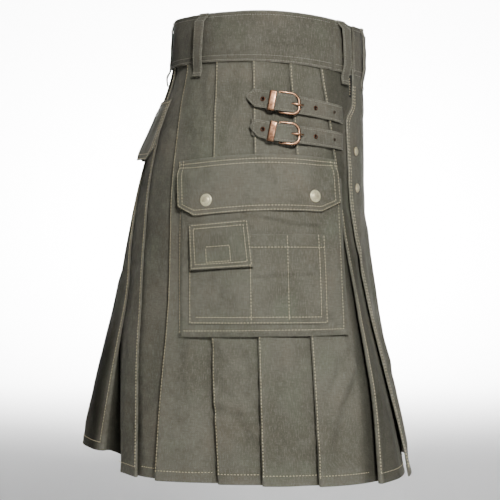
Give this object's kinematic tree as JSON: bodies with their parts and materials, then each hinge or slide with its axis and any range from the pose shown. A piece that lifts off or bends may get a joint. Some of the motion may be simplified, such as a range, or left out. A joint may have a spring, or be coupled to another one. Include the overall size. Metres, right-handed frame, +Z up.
{
  "type": "utility kilt",
  "caption": "Pleated olive-grey utility kilt worn hollow: wrap apron, waistband with belt loops, hip cargo pockets and buckled side straps.",
  "frame": {"origin": "middle of the waistband's ring, at half the band's height, on the wearer's axis", "axes": "+Z up, -Y to the wearer's front, +X to the wearer's left"},
  "size_m": [0.4806, 0.4649, 0.604],
  "materials": {
    "apron_outer": "matt heavy cotton twill",
    "apron_stud_1": "antique brass, satin",
    "apron_stud_2": "antique brass, satin",
    "apron_under": "matt heavy cotton twill",
    "back_flap_left": "matt heavy cotton twill",
    "back_flap_right": "matt heavy cotton twill",
    "buckle_frame_lower": "antique copper, worn",
    "buckle_frame_upper": "antique copper, worn",
    "buckle_prong_lower": "antique copper, worn",
    "buckle_prong_upper": "antique copper, worn",
    "buckle_tab_lower": "matt heavy cotton twill",
    "buckle_tab_upper": "matt heavy cotton twill",
    "hook_tape": "woven hook tape",
    "keeper_lower": "antique copper, worn",
    "keeper_upper": "antique copper, worn",
    "loop_apron_left": "matt heavy cotton twill",
    "loop_apron_right": "matt heavy cotton twill",
    "loop_back": "matt heavy cotton twill",
    "loop_hip_left": "matt heavy cotton twill",
    "loop_hip_right": "matt heavy cotton twill",
    "loop_side_left": "matt heavy cotton twill",
    "loop_side_right": "matt heavy cotton twill",
    "pocket_body_left": "matt heavy cotton twill",
    "pocket_body_right": "matt heavy cotton twill",
    "pocket_flap_left": "matt heavy cotton twill",
    "pocket_flap_right": "matt heavy cotton twill",
    "pocket_patch_left": "matt heavy cotton twill",
    "pocket_patch_right": "matt heavy cotton twill",
    "skirt_back": "matt heavy cotton twill",
    "skirt_left_back": "matt heavy cotton twill",
    "skirt_left_side": "matt heavy cotton twill",
    "skirt_right_back": "matt heavy cotton twill",
    "skirt_right_side": "matt heavy cotton twill",
    "small_flap_left": "matt heavy cotton twill",
    "small_flap_right": "matt heavy cotton twill",
    "snap_1_left": "antique brass, satin",
    "snap_1_right": "antique brass, satin",
    "snap_2_left": "antique brass, satin",
    "snap_2_right": "antique brass, satin",
    "strap_lower": "matt heavy cotton twill",
    "strap_upper": "matt heavy cotton twill",
    "waistband_back": "matt heavy cotton twill",
    "waistband_front": "matt heavy cotton twill",
    "waistband_under": "matt heavy cotton twill"
  },
  "bodies": {
    "root": {"apron_outer": "apron_outer", "apron_stud_1": "apron_stud_1", "apron_stud_2": "apron_stud_2", "apron_under": "apron_under", "back_flap_left": "back_flap_left", "back_flap_right": "back_flap_right", "buckle_frame_lower": "buckle_frame_lower", "buckle_frame_upper": "buckle_frame_upper", "buckle_prong_lower": "buckle_prong_lower", "buckle_prong_upper": "buckle_prong_upper", "buckle_tab_lower": "buckle_tab_lower", "buckle_tab_upper": "buckle_tab_upper", "hook_tape": "hook_tape", "keeper_lower": "keeper_lower", "keeper_upper": "keeper_upper", "loop_apron_left": "loop_apron_left", "loop_apron_right": "loop_apron_right", "loop_back": "loop_back", "loop_hip_left": "loop_hip_left", "loop_hip_right": "loop_hip_right", "loop_side_left": "loop_side_left", "loop_side_right": "loop_side_right", "pocket_body_left": "pocket_body_left", "pocket_body_right": "pocket_body_right", "pocket_flap_left": "pocket_flap_left", "pocket_flap_right": "pocket_flap_right", "pocket_patch_left": "pocket_patch_left", "pocket_patch_right": "pocket_patch_right", "skirt_back": "skirt_back", "skirt_left_back": "skirt_left_back", "skirt_left_side": "skirt_left_side", "skirt_right_back": "skirt_right_back", "skirt_right_side": "skirt_right_side", "small_flap_left": "small_flap_left", "small_flap_right": "small_flap_right", "snap_1_left": "snap_1_left", "snap_1_right": "snap_1_right", "snap_2_left": "snap_2_left", "snap_2_right": "snap_2_right", "strap_lower": "strap_lower", "strap_upper": "strap_upper", "waistband_back": "waistband_back", "waistband_front": "waistband_front", "waistband_under": "waistband_under"}
  },
  "joints": []
}
